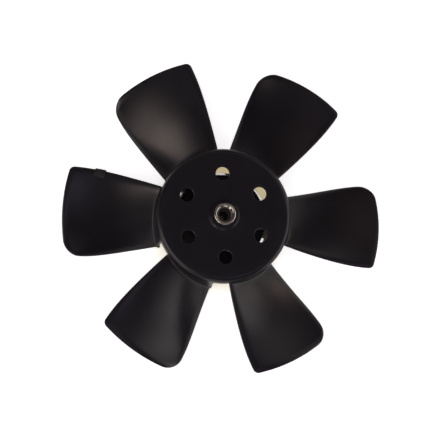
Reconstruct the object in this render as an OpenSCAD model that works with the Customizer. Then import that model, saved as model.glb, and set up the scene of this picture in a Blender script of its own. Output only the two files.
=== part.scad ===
// Engine cooling fan wheel. A cup-shaped hub and six wide twisted blades are one
// plastic moulding. A steel bush sits in the hub's centre boss and carries a splash
// disc inside the cup. One balance clip is pushed over a blade's front edge.
// Millimetres. The wheel lies on its rear: z = 0 is the rear of the hub's skirt,
// the Z axis is the shaft axis, and +Z points out of the front face.

/* [Wheel] */
// Diameter over the blade tips
fan_d = 280; // [260:1:300]
// Number of blades, with one cooling hole between each two
blade_count = 6; // [5:1:7]
// Height of the blades' middle plane above the rear of the skirt
blade_mid_z = 24.5; // [24:0.5:27]

/* [Blade] */
// Angle that a blade covers, from hub to tip, as Bezier control values (degrees)
blade_span = [47.5, 38.3, 38.7, 31]; // [28:0.1:48]
// Angle of the blade's centre line, from hub to tip (degrees)
blade_lean = [-1.4, -2.8, -1.9, -2.5]; // [-6:0.1:6]
// Height of the blade's centre line over the middle plane, from hub to tip
blade_rise = [0.4, -5.3, -4.5, 3]; // [-8:0.1:8]
// Pitch of the blade at the hub (degrees)
pitch_root = 41; // [36:0.5:42]
// Pitch of the blade at the tip (degrees)
pitch_tip = 13.8; // [8:0.1:24]
// Height of the blade's hollow over its length of chord
camber = 0.045; // [0:0.005:0.08]
// Blade thickness at the hub
blade_t_root = 3.2; // [2.4:0.1:4]
// Blade thickness at the tip
blade_t_tip = 2.2; // [1.6:0.1:3]
// Radius of the sharp tip corner on the front edge
front_corner_r = 4; // [2:0.5:10]
// Radius of the round tip corner on the rear edge
rear_corner_r = 12; // [6:0.5:20]
// Radius of the fillet where the blade's front side meets the hub
root_fillet = 2; // [1:0.5:4]
// Length over which the blade's front side is rounded down to its tip
tip_edge = 3; // [1.5:0.5:5]

/* [Hub] */
// Diameter of the hub's skirt
hub_d = 118; // [112:1:124]
// Height of the hub's front face over the rear of the skirt
hub_h = 52; // [50:0.5:56]
// Radius of the shoulder between front face and skirt
shoulder_r = 5; // [4:0.5:9]
// Thickness of the front face
face_t = 3; // [2:0.1:4]
// Thickness of the skirt
skirt_t = 2.8; // [2:0.1:4]
// Draft of the skirt (degrees)
skirt_draft = 0.5; // [0:0.1:1]
// How far the skirt reaches behind the blade's root at its front edge
skirt_lip = 4.6; // [3:0.1:6]
// Length of the flat that each tooth of the skirt stands on
tooth_flat = 4; // [2:0.5:8]

/* [Cooling holes] */
// Diameter of a cooling hole
hole_d = 12; // [8:0.5:14]
// Diameter of the circle through the holes' centres
hole_pcd = 73.5; // [66:0.5:80]
// Angle of the first hole (degrees)
hole_angle = 31.9; // [20:0.1:40]

/* [Centre boss] */
// Diameter of the raised collar round the bush at its foot, on the front face
hub_collar_d = 27; // [26:0.5:40]
// Diameter of the raised collar at its top
hub_collar_top_d = 24; // [22.5:0.5:25]
// Height of the raised collar over the front face
hub_collar_h = 2; // [1.5:0.5:6]
// Diameter of the boss inside the cup
boss_d = 28; // [25:0.5:36]
// Depth of the boss inside the cup, behind the front face
boss_depth = 20; // [14:0.5:26]
// Thickness of a rib. There is one rib to each blade
rib_t = 2.2; // [1.6:0.1:3]
// Depth of a rib behind the front face
rib_depth = 9; // [6:0.5:10]
// Chamfer of the boss's edges, in front and behind
boss_edge = 1; // [0.4:0.1:1.5]

/* [Bush] */
// Diameter of the bush
bush_d = 19.2; // [18:0.1:21]
// How far the bush stands out of the raised collar
bush_proud = 7; // [3:0.5:8]
// Chamfer of the bush's outer edges
bush_edge = 0.6; // [0.3:0.1:1]
// Diameter of the countersunk mouth
mouth_d = 14.4; // [13:0.1:16]
// Diameter of the counterbore
counterbore_d = 10; // [9:0.5:12.5]
// Depth of the counterbore, from the bush's front end
counterbore_depth = 14; // [5:0.5:16]
// Diameter of the shaft bore
shaft_d = 8; // [6:0.5:8.5]
// Diameter of the seat that the splash disc is pressed on
seat_d = 14; // [12:0.5:16]
// Length of that seat
seat_l = 6; // [4:0.5:8]

/* [Splash disc] */
// Diameter of the disc's flat
disc_d = 80; // [70:1:90]
// Height of the disc's flat over the rear of the skirt
disc_z = 20; // [18:0.5:24]
// Thickness of the disc
disc_t = 2; // [1.5:0.1:3]
// Width of the turned-down shoulder round the disc
disc_shoulder = 2.4; // [1.5:0.1:4]
// Depth of the turned-down rim
disc_rim_h = 6; // [4:0.5:8]
// Chamfer of the disc's inner bends
disc_edge = 0.5; // [0.2:0.1:1]
// Diameter of the disc's collar
collar_d = 21; // [19:0.5:26]

/* [Balance clip] */
// Blade that carries the clip, counted from the +X axis
clip_blade = 3; // [0:1:4]
// Distance of the clip's middle from the blade's tip
clip_from_tip = 26; // [20:1:40]
// Length of the clip along the blade's edge
clip_l = 9.6; // [6:0.2:14]
// How far the clip reaches over the blade
clip_reach = 6; // [4:0.5:10]
// Thickness of the clip's strip
clip_t = 0.8; // [0.5:0.1:1.5]
// Clearance between clip and blade
clip_gap = 0.25; // [0.2:0.01:0.3]

/* [Hidden] */
$fn = 96;
plastic = [0.09, 0.09, 0.10];
steel = [0.72, 0.72, 0.70];

fan_r = fan_d / 2;
hub_r = hub_d / 2;
clip_at = fan_r - clip_from_tip;
blade_step = 360 / blade_count;
face_z = hub_h - face_t;
bush_front_z = hub_h + hub_collar_h + bush_proud;
bush_rear_z = disc_z - disc_t - 2;
seat_top_z = bush_rear_z + seat_l;
// The blade starts inside the skirt, so that both are one solid
blade_start_r = hub_r - 0.7 * skirt_t;

// How far the drafted skirt stands out, a given height below the face
function skirt_slip(drop) = drop * tan(skirt_draft);

// Points of an arc about c, from angle a0 to a1
function arc(c, r, a0, a1, n = 8) =
    [for (i = [0:n]) c + r * [cos(a0 + (a1 - a0) * i / n), sin(a0 + (a1 - a0) * i / n)]];

// Cubic Bezier through four control values
function bezier(c, t) =
    c[0] * pow(1 - t, 3) + 3 * c[1] * t * pow(1 - t, 2)
    + 3 * c[2] * t * t * (1 - t) + c[3] * pow(t, 3);

// Splits four-cornered faces into triangles
function triangles(quads) =
    [for (q = quads) each [[q[0], q[1], q[2]], [q[0], q[2], q[3]]]];

// Blade surface, in polar form about the shaft axis.
// Share of the way from hub to tip
function along(r) = (r - hub_r) / (fan_r - hub_r);
function pitch(r) = pitch_root + (pitch_tip - pitch_root) * along(r);
function span(r) = bezier(blade_span, along(r));
function chord(r) = r * span(r) * PI / 180;
function thickness(r) = blade_t_root + (blade_t_tip - blade_t_root) * along(r);
// u runs over the chord, from 0 at the front edge to 1 at the rear edge
function blade_angle(r, u) = bezier(blade_lean, along(r)) + span(r) * (u - 0.5);
function blade_z(r, u) =
    blade_mid_z + bezier(blade_rise, along(r)) + chord(r) * tan(pitch(r)) * (0.5 - u)
    + camber * chord(r) * 4 * u * (1 - u);
function slope(r, u) = atan(tan(pitch(r)) - 4 * camber * (1 - 2 * u));
// A point off the blade's middle surface by a distance along its normal
function blade_point(r, u, off) =
    let (a = blade_angle(r, u), s = slope(r, u), side = off * sin(s))
    [r * cos(a) - side * sin(a), r * sin(a) + side * cos(a), blade_z(r, u) + off * cos(s)];

// The tip's outline: the fan's circle, rounded at both corners
function corner_drop(e, r) = e >= r ? 0 : r - sqrt(r * r - (r - e) * (r - e));
function tip_r(u) =
    fan_r - corner_drop(u * chord(fan_r), front_corner_r)
    - corner_drop((1 - u) * chord(fan_r), rear_corner_r);
// Places over the chord, close together in the rounded corners
function corner_steps(r, n) = [for (i = [0:n - 1]) r * (1 - cos(90 * i / n)) / chord(fan_r)];
front_steps = corner_steps(front_corner_r, 3);
rear_steps = corner_steps(rear_corner_r, 5);
middle_n = 6;
u_first = front_corner_r / chord(fan_r);
u_last = 1 - rear_corner_r / chord(fan_r);
us = concat(front_steps, [for (i = [0:middle_n]) u_first + (u_last - u_first) * i / middle_n],
            [for (i = [len(rear_steps) - 1:-1:0]) 1 - rear_steps[i]]);
// Places from hub to tip: three for the root fillet, one for the tip's edge, the rest even
root_steps = [0, 0.15, 0.45, 1] * root_fillet;
outer_n = 8;
function radius_at(i, u) =
    i == 0 ? blade_start_r
    : i <= len(root_steps) ? hub_r + root_steps[i - 1]
    : i == stations ? tip_r(u)
    : hub_r + root_fillet
      + (tip_r(u) - tip_edge - hub_r - root_fillet) * (i - len(root_steps)) / (outer_n - 1);
stations = len(root_steps) + outer_n;
// The plate is thinned to a round at all its free edges
function edge_round(e, t) = let (h = t / 2) e >= h ? h : max(0.35 * h, sqrt(h * h - (h - e) * (h - e)));
function half_t(r, u) =
    edge_round(min(u, 1 - u) * chord(r) + 0.1 * blade_t_tip, thickness(r));
function fillet_rise(r) = corner_drop(max(0, r - hub_r), root_fillet);
// The front side is rounded down at the tip
function front_off(i, r, u) = i == stations ? 0.4 * half_t(r, u) : half_t(r, u) + fillet_rise(r);

module blade() {
    last = len(us) - 1;
    loop = 2 * (last + 1);
    points = [for (i = [0:stations], j = [0:loop - 1])
        let (front = j <= last, u = front ? us[j] : us[loop - 1 - j], r = radius_at(i, u))
        blade_point(r, u, front ? front_off(i, r, u) : -half_t(r, u))];
    sides = [for (i = [0:stations - 1], j = [0:loop - 1])
        let (k = (j + 1) % loop)
        [i * loop + j, i * loop + k, (i + 1) * loop + k, (i + 1) * loop + j]];
    root = [for (j = [0:last - 1]) [j, loop - 1 - j, loop - 2 - j, j + 1]];
    tip = [for (j = [0:last - 1])
        let (b = stations * loop) [b + j, b + j + 1, b + loop - 2 - j, b + loop - 1 - j]];
    polyhedron(points, triangles(concat(sides, root, tip)), convexity = 6);
}

module cup() {
    out_low = hub_r + skirt_slip(hub_h);
    in_low = out_low - skirt_t;
    in_top = hub_r - skirt_t;
    inner_r = shoulder_r - face_t * 0.6;
    rotate_extrude(angle = 360)
        polygon(concat(
            [[0, face_z]], arc([in_top - inner_r, face_z - inner_r], inner_r, 90, 0),
            [[in_low, 0], [out_low, 0]], arc([hub_r - shoulder_r, hub_h - shoulder_r], shoulder_r, 0, 90),
            [[0, hub_h]]));
}

// Cuts the skirt back between two blades and in a slope behind the next blade
module skirt_cut() {
    front_a = blade_angle(hub_r, 0);
    rear_a = blade_angle(hub_r, 1);
    top_z = blade_z(hub_r, 0) - skirt_lip;
    half_w = hub_r * sin(span(hub_r) / 2);
    depth = 3 * skirt_t;
    rotate([0, 0, rear_a - blade_step])
        rotate_extrude(angle = blade_step - span(hub_r) + 2)
            translate([hub_r - 2 * skirt_t, -1]) square([depth, top_z + 1]);
    rotate([0, 0, (front_a + rear_a) / 2])
        translate([hub_r * cos(span(hub_r) / 2) - 2 * skirt_t, 0, 0])
            rotate([90, 0, 90])
                linear_extrude(height = hub_r * (1 - cos(span(hub_r) / 2)) + 2 * depth)
                    polygon([[-half_w - 1, -1], [-half_w - 1, top_z], [-half_w + 1, top_z],
                             [half_w - tooth_flat, 0], [half_w - tooth_flat, -1]]);
}

module ribs() {
    for (i = [0:blade_count - 1])
        rotate([0, 0, hole_angle + blade_step * (i + 0.5)])
            translate([boss_d / 2 - 1, -rib_t / 2, face_z - rib_depth])
                cube([hub_r - skirt_t / 2 - boss_d / 2, rib_t, rib_depth + face_t / 2]);
}

module centre_boss() {
    rotate_extrude(angle = 360)
        polygon([[0, face_z - boss_depth], [boss_d / 2 - boss_edge, face_z - boss_depth],
                 [boss_d / 2, face_z - boss_depth + boss_edge], [boss_d / 2, hub_h - face_t / 2],
                 [hub_collar_d / 2, hub_h - face_t / 2], [hub_collar_d / 2, hub_h],
                 [hub_collar_top_d / 2 + boss_edge, hub_h + hub_collar_h - boss_edge],
                 [hub_collar_top_d / 2, hub_h + hub_collar_h], [0, hub_h + hub_collar_h]]);
}

module fan_wheel() {
    color(plastic)
        difference() {
            union() {
                difference() {
                    cup();
                    for (i = [0:blade_count - 1]) rotate([0, 0, blade_step * i]) skirt_cut();
                }
                ribs();
                centre_boss();
                for (i = [0:blade_count - 1]) rotate([0, 0, blade_step * i]) blade();
            }
            cylinder(h = bush_front_z + 1, d = bush_d);
            for (i = [0:blade_count - 1])
                rotate([0, 0, hole_angle + blade_step * i])
                    translate([hole_pcd / 2, 0, face_z - 1]) cylinder(h = face_t + 2, d = hole_d);
        }
}

module hub_bush() {
    edge = bush_edge;
    mouth_depth = (mouth_d - counterbore_d) / 2;
    color(steel)
        rotate_extrude(angle = 360)
            polygon([[shaft_d / 2, bush_rear_z], [seat_d / 2 - edge, bush_rear_z],
                     [seat_d / 2, bush_rear_z + edge], [seat_d / 2, seat_top_z],
                     [bush_d / 2, seat_top_z], [bush_d / 2, bush_front_z - edge],
                     [bush_d / 2 - edge, bush_front_z], [mouth_d / 2, bush_front_z],
                     [counterbore_d / 2, bush_front_z - mouth_depth],
                     [counterbore_d / 2, bush_front_z - counterbore_depth],
                     [shaft_d / 2, bush_front_z - counterbore_depth]]);
}

module splash_disc() {
    r = disc_d / 2;
    low = disc_z - disc_t;
    rim_in = r + disc_shoulder - disc_t;
    color(plastic)
        rotate_extrude(angle = 360)
            polygon([[seat_d / 2, bush_rear_z], [collar_d / 2, bush_rear_z], [collar_d / 2, low],
                     [rim_in - disc_edge, low], [rim_in, low - disc_edge], [rim_in, disc_z - disc_rim_h],
                     [r + disc_shoulder, disc_z - disc_rim_h], [r + disc_shoulder, disc_z - disc_shoulder],
                     [r, disc_z], [collar_d / 2, disc_z],
                     [collar_d / 2 - disc_edge, seat_top_z], [seat_d / 2, seat_top_z]]);
}

// A strip bent into a U and pushed over the front edge of one blade
module balance_clip() {
    steps = 4;
    r0 = clip_at - clip_l / 2;
    in_off = thickness(clip_at) / 2 + clip_gap;
    out_off = in_off + clip_t;
    nose = clip_t + clip_gap;
    reach = clip_reach;
    // Outer line of the U, then its inner line, as [distance behind the edge, offset]
    outer = [[reach, out_off], [0, out_off], [-nose, 0.6 * out_off],
             [-nose, -0.6 * out_off], [0, -out_off], [reach, -out_off]];
    inner = [[reach, in_off], [-clip_gap, in_off], [-clip_gap, 0.5 * in_off],
             [-clip_gap, -0.5 * in_off], [-clip_gap, -in_off], [reach, -in_off]];
    n = len(outer);
    section = concat(outer, [for (j = [n - 1:-1:0]) inner[j]]);
    loop = 2 * n;
    points = [for (i = [0:steps], p = section)
        let (r = r0 + clip_l * i / steps) blade_point(r, p[0] / chord(r), p[1])];
    sides = [for (i = [0:steps - 1], j = [0:loop - 1])
        let (k = (j + 1) % loop)
        [i * loop + j, (i + 1) * loop + j, (i + 1) * loop + k, i * loop + k]];
    low_end = [for (j = [0:n - 2]) [j, j + 1, loop - 2 - j, loop - 1 - j]];
    high_end = [for (j = [0:n - 2])
        let (b = steps * loop) [b + j, b + loop - 1 - j, b + loop - 2 - j, b + j + 1]];
    color(plastic)
        rotate([0, 0, blade_step * clip_blade])
            polyhedron(points, triangles(concat(sides, low_end, high_end)), convexity = 4);
}

fan_wheel();
hub_bush();
splash_disc();
balance_clip();
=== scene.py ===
"""Engine cooling fan wheel lying on a pale ground, seen from its front.

Lengths in the making are millimetres, as in the CAD, and turn to metres in put() and
camera(). The ground is in metres.
"""
import math

import bmesh
import bpy
import numpy as np
from mathutils import Matrix, Vector

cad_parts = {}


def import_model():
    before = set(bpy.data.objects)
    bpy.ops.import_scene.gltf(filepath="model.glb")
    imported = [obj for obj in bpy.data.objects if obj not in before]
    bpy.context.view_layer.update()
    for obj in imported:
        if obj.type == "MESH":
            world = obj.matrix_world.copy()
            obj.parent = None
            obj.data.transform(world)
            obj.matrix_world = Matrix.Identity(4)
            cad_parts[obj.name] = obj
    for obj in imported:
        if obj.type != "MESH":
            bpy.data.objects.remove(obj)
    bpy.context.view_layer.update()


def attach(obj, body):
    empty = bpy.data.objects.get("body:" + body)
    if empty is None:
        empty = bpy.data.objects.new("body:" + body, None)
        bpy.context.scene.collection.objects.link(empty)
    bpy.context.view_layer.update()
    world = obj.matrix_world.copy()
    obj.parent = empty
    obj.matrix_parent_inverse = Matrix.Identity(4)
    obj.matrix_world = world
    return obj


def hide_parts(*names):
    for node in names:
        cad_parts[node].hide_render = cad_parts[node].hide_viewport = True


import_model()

# Millimetres to metres, and how close points are that are joined
MM = 0.001
WELD = 0.004

# Wheel: blades, tip and hub radius, height of the face and of the blades' middle
BLADES = 6
STEP = 360.0 / BLADES
FAN_R, HUB_R, HUB_H = 140.0, 59.0, 52.0
MID_Z = 24.5

# Blade: Bezier control values of its span, lean and rise from hub to tip, then its pitch, hollow
# and thickness, and the radii of the tip's corners and of the root fillet
SPAN = (47.5, 38.3, 38.7, 31.0)
LEAN = (-1.4, -2.8, -1.9, -2.5)
RISE = (0.4, -5.3, -4.5, 3.0)
PITCH_ROOT, PITCH_TIP, CAMBER = 41.0, 13.8, 0.045
T_ROOT, T_TIP = 3.2, 2.2
FRONT_CORNER, REAR_CORNER, ROOT_FILLET = 4.0, 12.0, 2.0
# Width over which the front skin rolls down, how far it does, and how much wider the blade gets
ROLL, ROLL_DROP, ROLL_EXTRA = 4.5, 0.7, 0.8
# Steps over the chord: front corner, middle, rear corner
FRONT_STEPS, MIDDLE_STEPS, REAR_STEPS = 7, 26, 10
# Share of the way to the tip at which the steps get shorter
TIP_SHARE = 0.93

# Hub: shoulder, face, skirt
SHOULDER, FACE_T, SKIRT_T, DRAFT = 5.0, 3.0, 2.8, 0.5
LIP, TOOTH_FLAT = 4.6, 4.0
FACE_Z = HUB_H - FACE_T
# Rounding of the skirt's edges, rows of its teeth, and where a tooth's slope starts
EDGE, TOOTH_ROWS, TOOTH_START = 0.4, 9, 1.0
# Radius of the bend between face and skirt inside the cup
INNER_BEND = SHOULDER - FACE_T * 0.6

# Cooling holes, with the rounding of their front edge and the chamfer of the rear one
HOLE_R, HOLE_AT, HOLE_ANGLE = 6.0, 36.75, 31.9
HOLE_ROUND, HOLE_CHAMFER = 0.5, 0.15

# Collar, boss and ribs, with their roundings and fillets
FOOT_R, TOP_R, FOOT_H = 13.5, 12.0, 2.0
FOOT_FILLET, TOP_ROUND, TOP_INSET = 1.0, 0.7, 0.3
BOSS_R, BOSS_DEPTH, BOSS_ROUND, BOSS_FILLET, BOSS_DRAFT = 14.0, 20.0, 1.2, 1.5, 0.2
RIB_T, RIB_DEPTH, RIB_ROUND, RIB_DRAFT = 2.2, 9.0, 0.6, 0.15

# Bush: body, mouth, bores and seat. BUSH_TIGHT makes its hole in the wheel smaller, so that no
# gap shows
BUSH_R, BUSH_PROUD, MOUTH_R, BORE_R, BORE_DEPTH = 9.6, 7.0, 7.2, 5.0, 14.0
SHAFT_R, SEAT_R, SEAT_L = 4.0, 7.0, 6.0
BUSH_TOP = HUB_H + FOOT_H + BUSH_PROUD
BUSH_TIGHT = 0.02
LIP_R, BORE_ROUND, SHAFT_ROUND, SEAT_ROUND, STEP_ROUND = 1.3, 0.45, 0.4, 0.6, 0.3

# Splash disc: flat, rim and collar, and its stretch of edge made dark as painted shade (degrees)
DISC_R, DISC_Z, DISC_T, DISC_RIM, DISC_SHOULDER, COLLAR_R = 40.0, 20.0, 2.0, 6.0, 2.4, 10.5
DISC_BEND, BEND_INSET, DISC_CHAMFER, RIM_FILLET = 0.8, 0.33, 0.2, 0.5
COLLAR_ROUND, COLLAR_FILLET = 0.4, 0.6
PAINTED_SHADE_FROM, PAINTED_SHADE_TO = -22.5, 0.0
BUSH_BEHIND = 2.0
BUSH_LOW = DISC_Z - DISC_T - BUSH_BEHIND
SEAT_Z = BUSH_LOW + SEAT_L

# Balance clip: its blade, place, length, reach, strip and clearance
CLIP_BLADE, CLIP_AT, CLIP_L, CLIP_REACH, CLIP_T, CLIP_GAP = 3, 114.0, 9.6, 6.0, 0.8, 0.25
CLIP_CHAMFER = 0.25


def bezier(c, t):
    return c[0] * (1 - t) ** 3 + 3 * c[1] * t * (1 - t) ** 2 + 3 * c[2] * t * t * (1 - t) + c[3] * t ** 3


def along(r):
    return (r - HUB_R) / (FAN_R - HUB_R)


def chord(r):
    return r * np.radians(bezier(SPAN, along(r)))


def pitch(r):
    return np.radians(PITCH_ROOT + (PITCH_TIP - PITCH_ROOT) * along(r))


def thickness(r):
    return T_ROOT + (T_TIP - T_ROOT) * along(r)


def blade_angle(r, u):
    return np.radians(bezier(LEAN, along(r)) + bezier(SPAN, along(r)) * (u - 0.5))


def blade_z(r, u):
    return (MID_Z + bezier(RISE, along(r)) + chord(r) * np.tan(pitch(r)) * (0.5 - u)
            + CAMBER * chord(r) * 4 * u * (1 - u))


def blade_point(r, u, off):
    """Points of a blade, a distance off its middle surface, for arrays r, u and off."""
    a = blade_angle(r, u)
    s = np.arctan(np.tan(pitch(r)) - 4 * CAMBER * (1 - 2 * u))
    side = off * np.sin(s)
    return np.stack([r * np.cos(a) - side * np.sin(a), r * np.sin(a) + side * np.cos(a),
                     blade_z(r, u) + off * np.cos(s)], axis=-1)


def corner_drop(e, r):
    e = np.clip(e, 0, r)
    return r - np.sqrt(np.maximum(r * r - (r - e) ** 2, 0))


def turned(points, degrees):
    c, s = math.cos(math.radians(degrees)), math.sin(math.radians(degrees))
    return np.asarray(points) @ np.array([[c, s, 0], [-s, c, 0], [0, 0, 1]])


def arc(cx, cy, r, a0, a1, n):
    return [(cx + r * math.cos(math.radians(a0 + (a1 - a0) * i / n)),
             cy + r * math.sin(math.radians(a0 + (a1 - a0) * i / n))) for i in range(n + 1)]


class Shell:
    """Collects points and faces of one piece."""

    def __init__(self):
        self.points, self.faces = [], []

    def add(self, points, faces):
        base = len(self.points)
        self.points.extend(np.asarray(points, float).reshape(-1, 3).tolist())
        self.faces.extend([[base + i for i in f] for f in faces])

    def grid(self, rows, closed=False, flip=False):
        """Rows of points, joined to quads. closed joins the ends of each row."""
        rows = np.asarray(rows, float)
        n, m = rows.shape[0], rows.shape[1]
        faces = []
        for i in range(n - 1):
            for j in range(m if closed else m - 1):
                k = (j + 1) % m
                f = [i * m + j, i * m + k, (i + 1) * m + k, (i + 1) * m + j]
                faces.append(f[::-1] if flip else f)
        self.add(rows, faces)

    def revolve(self, profile, angles):
        a = np.radians(angles)
        rows = [np.stack([r * np.cos(a), r * np.sin(a), np.full_like(a, z)], axis=-1) for r, z in profile]
        self.grid(rows, closed=True, flip=True)

    def put(self, name, material, sharp=38.0):
        """Makes the piece, with an edge wherever faces meet at more than the angle sharp."""
        mesh = bpy.data.meshes.new(name)
        mesh.from_pydata([[c * MM for c in p] for p in self.points], [], self.faces)
        bm = bmesh.new()
        bm.from_mesh(mesh)
        bmesh.ops.remove_doubles(bm, verts=bm.verts, dist=WELD * MM)
        bmesh.ops.dissolve_degenerate(bm, edges=bm.edges, dist=1e-7)
        bmesh.ops.recalc_face_normals(bm, faces=bm.faces)
        bm.to_mesh(mesh)
        bm.free()
        mesh.shade_smooth()
        mesh.set_sharp_from_angle(angle=math.radians(sharp))
        mesh.materials.append(material)
        piece = bpy.data.objects.new(name, mesh)
        bpy.context.scene.collection.objects.link(piece)
        return piece


def blade_shell(shell, turn):
    """One blade: two skins and a round edge all the way round its free sides.

    The front skin rolls down a little towards its free sides.
    """
    h_tip = T_TIP / 2
    tip = chord(FAN_R)
    front_r, rear_r = FRONT_CORNER - h_tip, REAR_CORNER - h_tip
    inset = tip - 2 * h_tip + ROLL_EXTRA
    front_turn = np.radians(90 * np.arange(FRONT_STEPS) / FRONT_STEPS)
    rear_turn = np.radians(90 * np.arange(REAR_STEPS - 1, -1, -1) / REAR_STEPS)
    e = np.concatenate([front_r * (1 - np.cos(front_turn)),
                        np.linspace(front_r, inset - rear_r, MIDDLE_STEPS),
                        inset - rear_r * (1 - np.cos(rear_turn))])
    w = e / inset
    reach = FAN_R - h_tip - corner_drop(e, front_r) - corner_drop(inset - e, rear_r)
    start = HUB_R - 0.75 * SKIRT_T
    root = HUB_R + ROOT_FILLET * np.array([0, 0.08, 0.2, 0.38, 0.62, 1.0])
    steps = np.concatenate([np.linspace(0, TIP_SHARE, 26)[1:], np.linspace(TIP_SHARE, 1, 8)[1:]])
    radii = [np.full_like(w, start)] + [np.full_like(w, r) for r in root]
    radii += [root[-1] + (reach - root[-1]) * t for t in steps]
    r = np.array(radii)
    h = thickness(r) / 2
    u0 = h / chord(r)
    u = u0 + (1 - 2 * u0 + ROLL_EXTRA / chord(r)) * w[None, :]
    rise = corner_drop(r - HUB_R, ROOT_FILLET)
    side = np.minimum(w, 1 - w)[None, :] * (chord(r) - 2 * h + ROLL_EXTRA)
    near = np.clip(1 - np.minimum(side, reach[None, :] - r) / ROLL, 0, 1)
    roll = ROLL_DROP * near ** 2
    top, low = blade_point(r, u, h + rise - roll), blade_point(r, u, -h)
    shell.grid(turned(top, turn))
    shell.grid(turned(low, turn), flip=True)
    # The way round: up the front edge, along the tip, down the rear edge
    n, m = r.shape
    way = [(i, 0) for i in range(n)] + [(n - 1, j) for j in range(1, m)]
    way += [(i, m - 1) for i in range(n - 2, -1, -1)]
    ii, jj = np.array(way).T
    mid = blade_point(r, u, 0 * h)[ii, jj]
    up = blade_point(r, u, 0 * h + 1)[ii, jj] - mid
    tangent = np.gradient(mid, axis=0)
    out = np.cross(tangent, up)
    out /= np.linalg.norm(out, axis=1)[:, None]
    hh, high = h[ii, jj], (h + rise - roll)[ii, jj]
    # From the front skin, which comes down at a slope, round to the rear skin
    fall = math.atan(2 * ROLL_DROP / ROLL)
    rows = []
    for t in np.linspace(0, 1, 10):
        b = ((1 - t) ** 3, 3 * t * (1 - t) ** 2, 3 * t * t * (1 - t), t ** 3)
        k = 1.333 * hh
        wide = (b[1] * math.cos(fall) + b[2]) * k
        lift = b[0] * high + b[1] * (high - math.sin(fall) * k) - (b[2] + b[3]) * hh
        rows.append(mid + out * wide[:, None] + up * lift[:, None])
    shell.grid(turned(np.array(rows), turn))


def ring_angles():
    """Angles of the hub's columns over a tooth and over a gap of the skirt, and of the tooth's kink."""
    half_w = HUB_R * math.sin(math.radians(SPAN[0] / 2))
    lean = LEAN[0]
    start = lean + math.degrees(math.asin((-half_w + TOOTH_START) / HUB_R))
    kink = lean + math.degrees(math.asin((half_w - TOOTH_FLAT) / HUB_R))
    rear = lean + SPAN[0] / 2
    inset = rear - math.degrees(EDGE / HUB_R)
    border = HOLE_ANGLE - STEP / 2
    tooth = list(np.linspace(start, border, 10)) + list(np.linspace(border, kink, 7)[1:])
    tooth += [(kink + inset) / 2, inset]
    gap = list(np.linspace(inset, start + STEP, 7)[1:-1])
    return tooth, gap, kink


TOOTH, GAP, KINK = ring_angles()
RING = np.array([a + STEP * k for k in range(BLADES) for a in TOOTH + GAP])
TOP_Z = float(blade_z(HUB_R, 0.0)) - LIP


def skirt_r(z, inner):
    """Radius of the drafted skirt at a height, outside or inside."""
    slip = math.tan(math.radians(DRAFT)) * HUB_H * (HUB_H - SHOULDER - z) / (HUB_H - SHOULDER)
    return HUB_R + max(0.0, slip) - (SKIRT_T if inner else 0.0)


def skirt(shell):
    """The skirt's teeth, with flat rear edges whose corners are rounded."""
    half_w = HUB_R * math.sin(math.radians(SPAN[0] / 2))
    s_flat = half_w - TOOTH_FLAT
    s_start = -half_w + TOOTH_START

    def edge_z(a):
        s = HUB_R * math.sin(math.radians(a - LEAN[0]))
        return TOP_Z if s <= s_start else max(0.0, TOP_Z * (s_flat - s) / (s_flat - s_start))

    slope = math.atan2(TOP_Z, s_flat - s_start)
    lines = []
    for a in TOOTH:
        low = edge_z(a)
        if a < KINK - 0.01:
            low += EDGE / math.cos(slope)
        else:
            low += EDGE
        low = min(low, TOP_Z + EDGE)
        lines.append((a, low))
    for inner in (False, True):
        for k in range(BLADES):
            rows = []
            for i in range(TOOTH_ROWS + 1):
                row = []
                for a, low in lines:
                    z = TOP_Z + EDGE + (low - TOP_Z - EDGE) * i / TOOTH_ROWS
                    r, t = skirt_r(z, inner), math.radians(a + STEP * k)
                    row.append((r * math.cos(t), r * math.sin(t), z))
                rows.append(row)
            shell.grid(rows, flip=not inner)
    # The edge line of one tooth and the gap after it: place, height and outward direction
    way = []
    for a, low in lines[:-1]:
        if a < KINK - 0.01:
            way.append((a, low, -math.sin(slope), -math.cos(slope)))
        elif a < KINK + 0.01:
            way.append((a, low, -math.tan(slope / 2), -1.0))
        else:
            way.append((a, low, 0.0, -1.0))
    a = lines[-1][0]
    way.append((a, EDGE, 1.0, -1.0))
    for i in range(1, TOOTH_ROWS):
        way.append((a, EDGE + TOP_Z * i / TOOTH_ROWS, 1.0, 0.0))
    way.append((a, TOP_Z + EDGE, 1.0, -1.0))
    way += [(g, TOP_Z + EDGE, 0.0, -1.0) for g in GAP]
    way[0] = (way[0][0], TOP_Z + EDGE, -math.tan(slope / 2) * 0.5, -1.0)
    profile = [(EDGE * math.sin(math.radians(t)), EDGE * (1 - math.cos(math.radians(t))))
               for t in (0, 22, 45, 68, 90)]
    profile += [(o, SKIRT_T - d) for o, d in profile[::-1]]
    rows = []
    for out, depth in profile:
        row = []
        for k in range(BLADES):
            for a, z, da, dz in way:
                zz = z + dz * out
                r = skirt_r(zz, False) - depth
                t = math.radians(a + STEP * k + math.degrees(da * out / HUB_R))
                row.append((r * math.cos(t), r * math.sin(t), zz))
        rows.append(row)
    shell.grid(rows, closed=True)


def within(angles, low, high):
    """The angles of a full turn's columns that lie between two angles, in order."""
    turns = np.concatenate([angles, angles + 360, angles - 360])
    return sorted(a for a in turns if low - 1e-6 <= a <= high + 1e-6)


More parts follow.
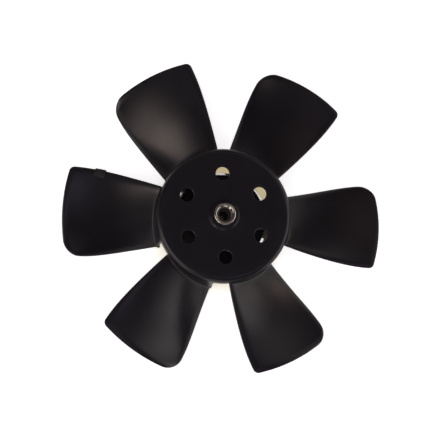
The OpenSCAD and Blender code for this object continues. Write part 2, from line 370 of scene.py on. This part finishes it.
def holed_face(shell, z, r_in, r_out, hole_r, ring_in, flip):
    """A flat ring with the cooling holes. Returns each hole's centre and directions round it."""
    holes = []
    for k in range(BLADES):
        low, high = HOLE_ANGLE - STEP / 2 + STEP * k, HOLE_ANGLE + STEP / 2 + STEP * k
        radial = np.linspace(r_in, r_out, 15)[1:-1]
        border = [(r_out, a) for a in within(RING, low, high)] + [(r, high) for r in radial[::-1]]
        border += [(r_in, a) for a in within(ring_in, low, high)[::-1]] + [(r, low) for r in radial]
        b = np.array([(r * math.cos(math.radians(a)), r * math.sin(math.radians(a))) for r, a in border])
        middle = math.radians((low + high) / 2)
        centre = HOLE_AT * np.array([math.cos(middle), math.sin(middle)])
        away = b - centre
        away /= np.linalg.norm(away, axis=1)[:, None]
        ring = centre + hole_r * away
        rows = [np.c_[ring + (b - ring) * t, np.full(len(b), z)] for t in (0, 0.12, 0.35, 1)]
        shell.grid(rows, closed=True, flip=flip)
        holes.append((centre, away))
    return holes


def cup_front(shell, ring_in):
    """Collar, holed face and shoulder. Returns the holes."""
    top = HUB_H + FOOT_H
    slope = math.degrees(math.atan2(FOOT_H, FOOT_R - TOP_R))
    face_in = FOOT_R + FOOT_FILLET * math.tan(math.radians(slope / 2))
    collar_r = TOP_R - TOP_INSET
    collar = [(BUSH_R - BUSH_TIGHT, top - 1), (BUSH_R - BUSH_TIGHT, top), (collar_r, top)]
    collar += arc(collar_r, top - TOP_ROUND, TOP_ROUND, 90, 90 - slope, 5)[1:]
    collar += arc(face_in, HUB_H + FOOT_FILLET, FOOT_FILLET, 270 - slope, 270, 6)
    shell.revolve(collar, ring_in)
    holes = holed_face(shell, HUB_H, face_in, HUB_R - SHOULDER, HOLE_R + HOLE_ROUND, ring_in, False)
    shoulder = arc(HUB_R - SHOULDER, HUB_H - SHOULDER, SHOULDER, 90, 0, 12)
    shoulder += [(skirt_r(z, False), z) for z in (HUB_H - SHOULDER - 1.5, TOP_Z + EDGE)]
    shell.revolve(shoulder, RING)
    return holes


def cup_inside(shell, ring_in):
    """Boss, holed rear of the face and the wall down to the skirt's teeth."""
    low = FACE_Z - BOSS_DEPTH
    foot_r = BOSS_R + BOSS_DRAFT + BOSS_FILLET
    boss = [(BUSH_R - BUSH_TIGHT, low + 0.5), (BUSH_R - BUSH_TIGHT, low), (BOSS_R - BOSS_ROUND, low)]
    boss += arc(BOSS_R - BOSS_ROUND, low + BOSS_ROUND, BOSS_ROUND, -90, 0, 5)[1:]
    boss += [(BOSS_R + BOSS_DRAFT / 2, FACE_Z - 8), (BOSS_R + BOSS_DRAFT, FACE_Z - BOSS_FILLET)]
    boss += arc(foot_r, FACE_Z - BOSS_FILLET, BOSS_FILLET, 180, 90, 5)[1:]
    shell.revolve(boss, ring_in)
    bend_r = HUB_R - SKIRT_T - INNER_BEND
    holed_face(shell, FACE_Z, foot_r, bend_r, HOLE_R + HOLE_CHAMFER, ring_in, True)
    wall = arc(bend_r, FACE_Z - INNER_BEND, INNER_BEND, 90, 0, 8)
    wall += [(skirt_r(TOP_Z + EDGE, True), TOP_Z + EDGE)]
    shell.revolve(wall, RING)


def hole_wall(shell, centre, away):
    """The wall of a cooling hole, with its front edge rounded and its rear edge chamfered."""
    rows = []
    for t in (90, 67, 45, 22, 0):
        q = math.radians(t)
        r = HOLE_R + HOLE_ROUND * (1 - math.cos(q))
        z = HUB_H - HOLE_ROUND * (1 - math.sin(q))
        rows.append(np.c_[centre + away * r, np.full(len(away), z)])
    rows.append(np.c_[centre + away * HOLE_R, np.full(len(away), FACE_Z + HOLE_CHAMFER)])
    rows.append(np.c_[centre + away * (HOLE_R + HOLE_CHAMFER), np.full(len(away), FACE_Z)])
    shell.grid(rows, closed=True, flip=True)


def rib(shell, turn):
    """A rib from the boss to the skirt, between two holes, with its free edge rounded."""
    half = RIB_T / 2
    bend = FACE_Z - RIB_DEPTH + RIB_ROUND
    section = [(-half - RIB_DRAFT, FACE_Z + 0.5), (-half, bend)]
    section += arc(-half + RIB_ROUND, bend, RIB_ROUND, 210, 270, 2)
    section += [(-x, z) for x, z in section[::-1]]
    # From inside the boss to inside the skirt
    stations = (BOSS_R - 0.8, 24, 34, 44, HUB_R - 1.6)
    rows = [[(r, x, z) for x, z in section] for r in stations]
    shell.grid(turned(np.array(rows), turn))


def fan_wheel(material):
    """The moulding: blades, skirt and cup."""
    shell = Shell()
    for k in range(BLADES):
        blade_shell(shell, STEP * k)
    skirt(shell)
    ring_in = np.array([HOLE_ANGLE + STEP / 2 + 5.0 * i for i in range(72)])
    holes = cup_front(shell, ring_in)
    cup_inside(shell, ring_in)
    for centre, away in holes:
        hole_wall(shell, centre, away)
    for k in range(BLADES):
        rib(shell, HOLE_ANGLE + STEP / 2 + STEP * k)
    piece = shell.put("wheel_moulding", material)
    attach(piece, "root")
    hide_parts("fan_wheel")


def hub_bush(material, inside):
    """The steel bush. Its bore has a darker material, as painted shade."""
    shell = Shell()
    floor_z = BUSH_TOP - BORE_DEPTH
    line = arc(SHAFT_R + SHAFT_ROUND, BUSH_LOW + SHAFT_ROUND, SHAFT_ROUND, 180, 270, 3)
    line += arc(SEAT_R - SEAT_ROUND, BUSH_LOW + SEAT_ROUND, SEAT_ROUND, -90, 0, 4)
    line += [(SEAT_R, SEAT_Z), (BUSH_R - STEP_ROUND, SEAT_Z)]
    line += arc(BUSH_R - STEP_ROUND, SEAT_Z + STEP_ROUND, STEP_ROUND, -90, 0, 3)[1:]
    # Rounded lip, countersunk mouth, counterbore, shaft bore
    line += arc(BUSH_R - LIP_R, BUSH_TOP - LIP_R, LIP_R, 0, 135, 14)
    throat_z = BUSH_TOP - (MOUTH_R - BORE_R) - 1.0
    line += arc(BORE_R + BORE_ROUND, throat_z, BORE_ROUND, 135, 180, 4)
    line += [(BORE_R, floor_z + 0.4), (BORE_R - 0.2, floor_z), (SHAFT_R + SHAFT_ROUND, floor_z)]
    line += arc(SHAFT_R + SHAFT_ROUND, floor_z - SHAFT_ROUND, SHAFT_ROUND, 90, 180, 3)
    line += [line[0]]
    shell.revolve(line, np.arange(0, 360, 3.75))
    piece = shell.put("bush", material, sharp=50)
    piece.data.materials.append(inside)
    for f in piece.data.polygons:
        if math.hypot(f.center.x, f.center.y) / MM < BORE_R + 0.05:
            f.material_index = 1
    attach(piece, "root")
    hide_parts("hub_bush")


def splash_disc(body, bright):
    """The disc on the bush's seat. Its edge is bright, but for a stretch that keeps the dark body
    material as painted shade.
    """
    shell = Shell()
    low = DISC_Z - DISC_T
    out = DISC_R + DISC_SHOULDER
    rim_in = out - DISC_T
    rim_z = DISC_Z - DISC_RIM
    line = [(SEAT_R, BUSH_LOW), (COLLAR_R - COLLAR_ROUND, BUSH_LOW)]
    line += arc(COLLAR_R - COLLAR_ROUND, BUSH_LOW + COLLAR_ROUND, COLLAR_ROUND, -90, 0, 3)[1:]
    line += [(COLLAR_R, low - 0.5), (COLLAR_R + 0.5, low), (rim_in - 0.7, low)]
    line += arc(rim_in - RIM_FILLET, low - RIM_FILLET, RIM_FILLET, 90, 0, 3)[1:]
    line += [(rim_in, rim_z + DISC_CHAMFER), (rim_in + DISC_CHAMFER, rim_z)]
    line += [(out - DISC_CHAMFER, rim_z), (out, rim_z + DISC_CHAMFER)]
    # Two bends of the shoulder, then the flat and the collar
    line += arc(out - DISC_BEND, DISC_Z - DISC_SHOULDER - BEND_INSET, DISC_BEND, 0, 45, 4)
    line += arc(DISC_R - BEND_INSET, DISC_Z - DISC_BEND, DISC_BEND, 45, 90, 4)
    line += [(COLLAR_R + COLLAR_FILLET, DISC_Z)]
    line += arc(COLLAR_R + COLLAR_FILLET, DISC_Z + COLLAR_FILLET, COLLAR_FILLET, 270, 180, 3)[1:]
    line += [(COLLAR_R, SEAT_Z - COLLAR_ROUND), (COLLAR_R - COLLAR_ROUND, SEAT_Z), (SEAT_R, SEAT_Z)]
    line += [line[0]]
    shell.revolve(line, np.arange(0, 360, 2.5))
    piece = shell.put("disc", body)
    piece.data.materials.append(bright)
    for f in piece.data.polygons:
        r, z = math.hypot(f.center.x, f.center.y) / MM, f.center.z / MM
        turn = math.degrees(math.atan2(f.center.y, f.center.x))
        at_edge = r > DISC_R - 0.4 and z > rim_z + DISC_CHAMFER
        # Between these angles the edge keeps the dark body material: painted shade
        if at_edge and not PAINTED_SHADE_FROM < turn < PAINTED_SHADE_TO:
            f.material_index = 1
    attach(piece, "root")
    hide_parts("splash_disc")


def half_turn(r, t_mid, side):
    """Points of the clip's bend round the blade's edge, from the given side to the other."""
    angles = [math.radians(q) for q in range(15, 180, 15)]
    return [(t_mid - r * math.sin(q), side * r * math.cos(q)) for q in angles]


def balance_clip(material):
    """A strip bent into a U round the blade's front edge."""
    shell = Shell()
    t_mid = float(thickness(CLIP_AT)) / 2
    inner, outer = t_mid + CLIP_GAP, t_mid + CLIP_GAP + CLIP_T
    c, bend = CLIP_CHAMFER, 0.3 * CLIP_CHAMFER
    # Section of the strip, as distance behind the blade's edge and offset off its middle surface
    loop = [(CLIP_REACH, inner), (CLIP_REACH, outer - c), (CLIP_REACH - bend, outer - bend),
            (CLIP_REACH - c, outer), (3.0, outer), (t_mid, outer)]
    loop += half_turn(outer, t_mid, 1)
    loop += [(t_mid, -outer), (3.0, -outer), (CLIP_REACH - c, -outer), (CLIP_REACH - bend, -outer + bend),
             (CLIP_REACH, -outer + c), (CLIP_REACH, -inner), (3.0, -inner), (t_mid, -inner)]
    loop += half_turn(inner, t_mid, -1)
    loop += [(t_mid, inner), (3.0, inner)]
    e, off = np.array(loop).T
    places = np.linspace(CLIP_AT - CLIP_L / 2, CLIP_AT + CLIP_L / 2, 13)
    rows = [blade_point(np.full(len(e), r), e / chord(r), off) for r in places]
    rows = turned(np.array(rows), STEP * CLIP_BLADE)
    shell.grid(rows, closed=True)
    for end in (rows[0], rows[-1]):
        shell.add(end, [list(range(len(loop)))])
    piece = shell.put("clip", material, sharp=40)
    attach(piece, "root")
    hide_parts("balance_clip")


def new_material(name):
    m = bpy.data.materials.new(name)
    m.use_nodes = True
    nt = m.node_tree
    nt.nodes.clear()
    out = nt.nodes.new("ShaderNodeOutputMaterial")
    return m, nt, out


def link(nt, a, b):
    nt.links.new(a, b)


def noise(nt, place, scale, detail):
    n = nt.nodes.new("ShaderNodeTexNoise")
    n.inputs["Scale"].default_value = scale
    n.inputs["Detail"].default_value = detail
    link(nt, place, n.inputs["Vector"])
    return n.outputs["Fac"]


def ramp(nt, value, lo, hi, to_lo, to_hi):
    n = nt.nodes.new("ShaderNodeMapRange")
    n.inputs["From Min"].default_value = lo
    n.inputs["From Max"].default_value = hi
    n.inputs["To Min"].default_value = to_lo
    n.inputs["To Max"].default_value = to_hi
    link(nt, value, n.inputs["Value"])
    return n.outputs["Result"]


def mix_colour(nt, fac, a, b):
    n = nt.nodes.new("ShaderNodeMix")
    n.data_type = "RGBA"
    n.inputs["A"].default_value = (*a, 1)
    n.inputs["B"].default_value = (*b, 1)
    link(nt, fac, n.inputs["Factor"])
    return n.outputs["Result"]


def bump(nt, height, strength, distance, normal=None):
    n = nt.nodes.new("ShaderNodeBump")
    n.inputs["Strength"].default_value = strength
    n.inputs["Distance"].default_value = distance
    link(nt, height, n.inputs["Height"])
    if normal is not None:
        link(nt, normal, n.inputs["Normal"])
    return n.outputs["Normal"]


def coords(nt):
    return nt.nodes.new("ShaderNodeTexCoord").outputs["Object"]


def uneven_surface(name, dark, light, grain, metallic=0.0):
    """A material whose colour varies a little. grain is the scale and detail of its noise."""
    material, nt, out = new_material(name)
    body = nt.nodes.new("ShaderNodeBsdfPrincipled")
    link(nt, body.outputs[0], out.inputs["Surface"])
    body.inputs["Metallic"].default_value = metallic
    place = coords(nt)
    link(nt, mix_colour(nt, noise(nt, place, *grain), dark, light), body.inputs["Base Color"])
    return material, nt, body, place


def uneven_gloss(nt, body, place, grain, lowest, highest):
    """Roughness that varies between two values."""
    link(nt, ramp(nt, noise(nt, place, *grain), 0.3, 0.7, lowest, highest), body.inputs["Roughness"])


def black_plastic():
    shades = (0.0050, 0.0046, 0.0066), (0.0070, 0.0064, 0.0090)
    material, nt, body, place = uneven_surface("satin_plastic", *shades, (60, 4))
    uneven_gloss(nt, body, place, (35, 5), 0.27, 0.33)
    fine = bump(nt, noise(nt, place, 2600, 2), 0.12, 0.0001)
    link(nt, bump(nt, noise(nt, place, 22, 1), 0.10, 0.002, fine), body.inputs["Normal"])
    return material


def steel():
    shades = (0.54, 0.54, 0.46), (0.60, 0.60, 0.52)
    material, nt, body, place = uneven_surface("turned_steel", *shades, (250, 2), metallic=1.0)
    uneven_gloss(nt, body, place, (200, 2), 0.15, 0.19)
    return material


# Darker steel for the bore: painted shade in the recess
def bore_steel():
    shades = (0.07, 0.06, 0.06), (0.13, 0.11, 0.11)
    material, nt, body, place = uneven_surface("bore_painted_shade", *shades, (400, 4), metallic=0.6)
    body.inputs["Roughness"].default_value = 0.45
    return material


def disc_black():
    shades = (0.010, 0.010, 0.012), (0.016, 0.016, 0.018)
    material, nt, body, place = uneven_surface("disc_coat", *shades, (120, 4))
    uneven_gloss(nt, body, place, (300, 4), 0.5, 0.65)
    link(nt, bump(nt, noise(nt, place, 1500, 2), 0.1, 0.0001), body.inputs["Normal"])
    return material


def disc_bright():
    shades = (0.92, 0.92, 0.91), (0.96, 0.96, 0.95)
    material, nt, body, place = uneven_surface("disc_edge", *shades, (200, 2), metallic=1.0)
    uneven_gloss(nt, body, place, (150, 2), 0.19, 0.23)
    return material


def clip_coat():
    shades = (0.006, 0.006, 0.006), (0.014, 0.014, 0.014)
    material, nt, body, place = uneven_surface("clip_coat", *shades, (500, 4))
    uneven_gloss(nt, body, place, (800, 3), 0.30, 0.45)
    return material


# Ground, in metres: half its size, the rings round the shaft axis in which its painted shade changes,
# and the direction and reach of the beige patch of painted light under the cup
GROUND_HALF = 3.0
SHADOW_UNDER_CUP, SHADE_ROUND_CUP = (0.0505, 0.0530), (0.053, 0.066)
PAINTED_LIGHT_TOWARDS, PAINTED_LIGHT_REACH = (0.485, 0.875, 0.0), (0.015, 0.030)
# Its lit colours and its own light, each under the cup (a painted shadow), in the beige part (a patch of
# painted light), near the cup (a painted cream shade), far off (the even white ground)
LIT = (0.40, 0.36, 0.28), (0.62, 0.52, 0.34), (0.85, 0.80, 0.68), (0.85, 0.85, 0.85)
OWN = (0.0, 0.0, 0.0), (0.45, 0.38, 0.215), (0.60, 0.57, 0.48), (0.70, 0.70, 0.70)
# Share of its own light that mirrored and transmitted rays see
MIRRORED_SHARE = 0.15


def vector_math(nt, operation, value):
    """A vector math node, with the value at its first input."""
    n = nt.nodes.new("ShaderNodeVectorMath")
    n.operation = operation
    link(nt, value, n.inputs[0])
    return n


def seen_share(nt):
    """1 for the camera's rays, and a smaller share for mirrored and transmitted ones."""
    path = nt.nodes.new("ShaderNodeLightPath")
    through = nt.nodes.new("ShaderNodeMath")
    link(nt, path.outputs["Is Glossy Ray"], through.inputs[0])
    link(nt, path.outputs["Is Transmission Ray"], through.inputs[1])
    seen = nt.nodes.new("ShaderNodeMath")
    seen.operation = "MULTIPLY_ADD"
    link(nt, through.outputs[0], seen.inputs[0])
    seen.inputs[1].default_value = MIRRORED_SHARE
    link(nt, path.outputs["Is Camera Ray"], seen.inputs[2])
    return seen.outputs[0]


def ground_paint():
    """Part of the ground's colour is its own light, at a strength below 1, and the rest is lit,
    so that it keeps the shadow. Under the cup it is painted dark as a shadow, but for a beige patch of
    painted light on the upper right, and near the cup it is painted cream as shade.
    """
    material, nt, out = new_material("ground")
    place = coords(nt)
    from_axis = vector_math(nt, "LENGTH", place).outputs["Value"]
    side = vector_math(nt, "DOT_PRODUCT", place)
    side.inputs[1].default_value = PAINTED_LIGHT_TOWARDS
    painted_light_part = ramp(nt, side.outputs["Value"], *PAINTED_LIGHT_REACH, 0.0, 1.0)
    outside = ramp(nt, from_axis, *SHADOW_UNDER_CUP, 0.0, 1.0)
    far = ramp(nt, from_axis, *SHADE_ROUND_CUP, 0.0, 1.0)

    # dark is the painted shadow under the cup, beige the patch of painted light on its upper right, cream
    # the painted shade near the cup
    def shades(dark, beige, cream, white):
        n = nt.nodes.new("ShaderNodeMix")
        n.data_type = "RGBA"
        link(nt, outside, n.inputs["Factor"])
        link(nt, mix_colour(nt, painted_light_part, dark, beige), n.inputs["A"])
        link(nt, mix_colour(nt, far, cream, white), n.inputs["B"])
        return n.outputs["Result"]

    lit = nt.nodes.new("ShaderNodeBsdfDiffuse")
    link(nt, shades(*LIT), lit.inputs["Color"])
    own = nt.nodes.new("ShaderNodeEmission")
    link(nt, shades(*OWN), own.inputs["Color"])
    link(nt, seen_share(nt), own.inputs["Strength"])
    both = nt.nodes.new("ShaderNodeAddShader")
    link(nt, lit.outputs[0], both.inputs[0])
    link(nt, own.outputs[0], both.inputs[1])
    link(nt, both.outputs[0], out.inputs["Surface"])
    return material


def ground(material):
    mesh = bpy.data.meshes.new("ground")
    s = GROUND_HALF
    mesh.from_pydata([(-s, -s, 0), (s, -s, 0), (s, s, 0), (-s, s, 0)], [], [(0, 1, 2, 3)])
    mesh.materials.append(material)
    piece = bpy.data.objects.new("ground", mesh)
    bpy.context.scene.collection.objects.link(piece)


# Fill lamp: strength, and its softness and lean in degrees
FILL_ENERGY, FILL_SOFT, FILL_LEAN = 1.3, 60, (12, -14, 0)


def fill():
    """A soft light from above, which brings the level up without a highlight of its own."""
    data = bpy.data.lights.new("fill", "SUN")
    data.energy = FILL_ENERGY
    data.angle = math.radians(FILL_SOFT)
    lamp = bpy.data.objects.new("fill", data)
    bpy.context.scene.collection.objects.link(lamp)
    lamp.rotation_euler = [math.radians(a) for a in FILL_LEAN]
    lamp.visible_glossy = False


# Camera, fitted to the blades' outlines in the photo: from where it looks, how far off, at what,
# and its focal length in the photo's pixels
VIEW_FROM = (-0.1070, -0.1317, 0.9855)
VIEW_DISTANCE, VIEW_AT = 2500.0, (-0.1, -1.4, MID_Z)
PHOTO_SIZE, FOCAL, SENSOR = 440.0, 2841.25, 36.0
# The photo's principal point lies a fraction of a pixel right of and below its middle
OFF_RIGHT, OFF_DOWN = 0.6, 0.85


def camera():
    back = Vector(VIEW_FROM).normalized()
    right = Vector((0, 1, 0)).cross(back).normalized()
    up = back.cross(right)
    pixel = VIEW_DISTANCE / FOCAL
    target = Vector(VIEW_AT) - right * (OFF_RIGHT * pixel) + up * (OFF_DOWN * pixel)
    place = (target + back * VIEW_DISTANCE) * MM
    data = bpy.data.cameras.new("camera")
    data.sensor_width = SENSOR
    data.lens = SENSOR * FOCAL / PHOTO_SIZE
    data.clip_start, data.clip_end = 0.1, 20.0
    cam = bpy.data.objects.new("camera", data)
    bpy.context.scene.collection.objects.link(cam)
    rows = [(right[i], up[i], back[i], place[i]) for i in range(3)]
    cam.matrix_world = Matrix([*rows, (0, 0, 0, 1)])
    bpy.context.scene.camera = cam


# Tints of the studio's lights, and the even light between them
AMBER, WARM, PALE, COOL = (1.32, 0.93, 0.75), (1.15, 0.97, 0.88), (1.06, 0.98, 0.98), (1.02, 0.87, 1.18)
DOME = (0.050, 0.036, 0.042)
# Sizes of the studio's soft lights: the spread of each in degrees
SMALL, MIDDLE, WIDE = 12, 20, 30
# Soft lights of the studio: azimuth and elevation in degrees, size, strength, tint
LIGHTS = (
    (230, 5, SMALL, 3.5, PALE),
    (270, 0, WIDE, 1.0, PALE),
    (325, 10, MIDDLE, 1.0, PALE),
    (345, 15, WIDE, 1.75, PALE),
    (15, 10, SMALL, 1.5, WARM),
    (35, 0, MIDDLE, 1.5, AMBER),
    (190, 20, SMALL, 2.5, WARM),
    (205, 30, MIDDLE, 3.5, WARM),
    (230, 40, MIDDLE, 2.0, WARM),
    (10, 30, MIDDLE, 1.5, PALE),
    (45, 45, WIDE, 0.5, PALE),
    (105, 45, WIDE, 0.2, AMBER),
    (310, 70, MIDDLE, 0.6, COOL),
    (155, 70, MIDDLE, 0.2, COOL),
)


def soft_light(nt, direction, azimuth, elevation, spread):
    """1 in the middle of a light and 0 from its spread on, for the world's directions."""
    a, e = math.radians(azimuth), math.radians(elevation)
    dot = vector_math(nt, "DOT_PRODUCT", direction)
    dot.inputs[1].default_value = (math.cos(a) * math.cos(e), math.sin(a) * math.cos(e), math.sin(e))
    angle = nt.nodes.new("ShaderNodeMath")
    angle.operation = "ARCCOSINE"
    link(nt, dot.outputs["Value"], angle.inputs[0])
    soft = nt.nodes.new("ShaderNodeMapRange")
    soft.interpolation_type = "SMOOTHSTEP"
    soft.inputs["From Min"].default_value = math.radians(spread)
    soft.inputs["From Max"].default_value = 0.0
    link(nt, angle.outputs[0], soft.inputs["Value"])
    return soft.outputs["Result"]


def world():
    """The studio: the even light, and on it one soft light after the other."""
    w = bpy.data.worlds.new("studio")
    bpy.context.scene.world = w
    w.use_nodes = True
    nt = w.node_tree
    nt.nodes.clear()
    out = nt.nodes.new("ShaderNodeOutputWorld")
    back = nt.nodes.new("ShaderNodeBackground")
    link(nt, back.outputs[0], out.inputs["Surface"])
    direction = nt.nodes.new("ShaderNodeTexCoord").outputs["Generated"]
    total = None
    for azimuth, elevation, spread, strength, tint in LIGHTS:
        soft = soft_light(nt, direction, azimuth, elevation, spread)
        add = vector_math(nt, "MULTIPLY_ADD", soft)
        add.inputs[1].default_value = [strength * c for c in tint]
        add.inputs[2].default_value = DOME
        if total is not None:
            link(nt, total, add.inputs[2])
        total = add.outputs[0]
    link(nt, total, back.inputs["Color"])


bpy.context.scene.view_settings.view_transform = "Standard"
camera()
world()
ground(ground_paint())
fill()
fan_wheel(black_plastic())
hub_bush(steel(), bore_steel())
splash_disc(disc_black(), disc_bright())
balance_clip(clip_coat())
